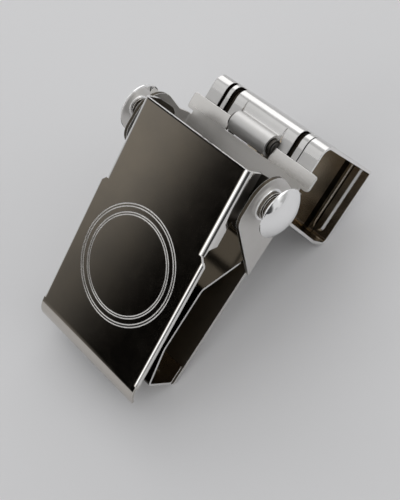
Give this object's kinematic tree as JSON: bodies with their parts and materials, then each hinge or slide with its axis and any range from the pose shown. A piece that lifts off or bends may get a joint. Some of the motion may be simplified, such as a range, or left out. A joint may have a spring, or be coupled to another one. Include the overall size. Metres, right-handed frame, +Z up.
{
  "type": "spring clip with belt hook",
  "caption": "Folded steel spring clip: a hinged front cover closes on a box jaw, with side knobs and a sprung, hinged belt loop behind.",
  "frame": {"origin": "centre of the bounding box on the floor, with the clip standing on its plate's lower edge and the hook's rear corner", "axes": "+X across the clip along its pins, +Y from the jaw to the belt hook, +Z up"},
  "size_m": [0.0564, 0.091, 0.0542],
  "materials": {
    "cover": "black nickel mirror",
    "plate": "satin nickel",
    "jaw": "bright nickel",
    "hook": "bright nickel",
    "knob": "polished nickel",
    "spring": "spring wire",
    "bush": "plain"
  },
  "bodies": {
    "frame": {"back_plate": "plate", "jaw_box": "jaw", "jaw_rivets": "plate", "hinge_bracket": "plate", "hinge_pin": "knob", "cross_pin": "knob", "knob_left": "knob", "knob_right": "knob", "knob_washer_left": "knob", "knob_washer_right": "knob", "cover_spring_left": "spring", "cover_spring_right": "spring", "hook_spring": "spring"},
    "cover": {"front_cover": "cover"},
    "hook": {"belt_hook": "hook", "hinge_bush_left": "bush", "hinge_bush_right": "bush"}
  },
  "joints": [
    {"name": "cover_pivot", "type": "hinge", "parent": "frame", "child": "cover", "pos_m": [0, 0.00644, 0.04281], "axis": [-1, 0, 0], "range_deg": [-2.2, 70], "stiffness_Nm_per_rad": 0.075, "springref_deg": -60.16, "deforming": ["cover_spring_left", "cover_spring_right"]},
    {"name": "hook_hinge", "type": "hinge", "parent": "frame", "child": "hook", "pos_m": [0, 0.02215, 0.03723], "axis": [1, 0, 0], "range_deg": [0, 50], "stiffness_Nm_per_rad": 0.008, "springref_deg": -89.95, "deforming": ["hook_spring"]}
  ]
}
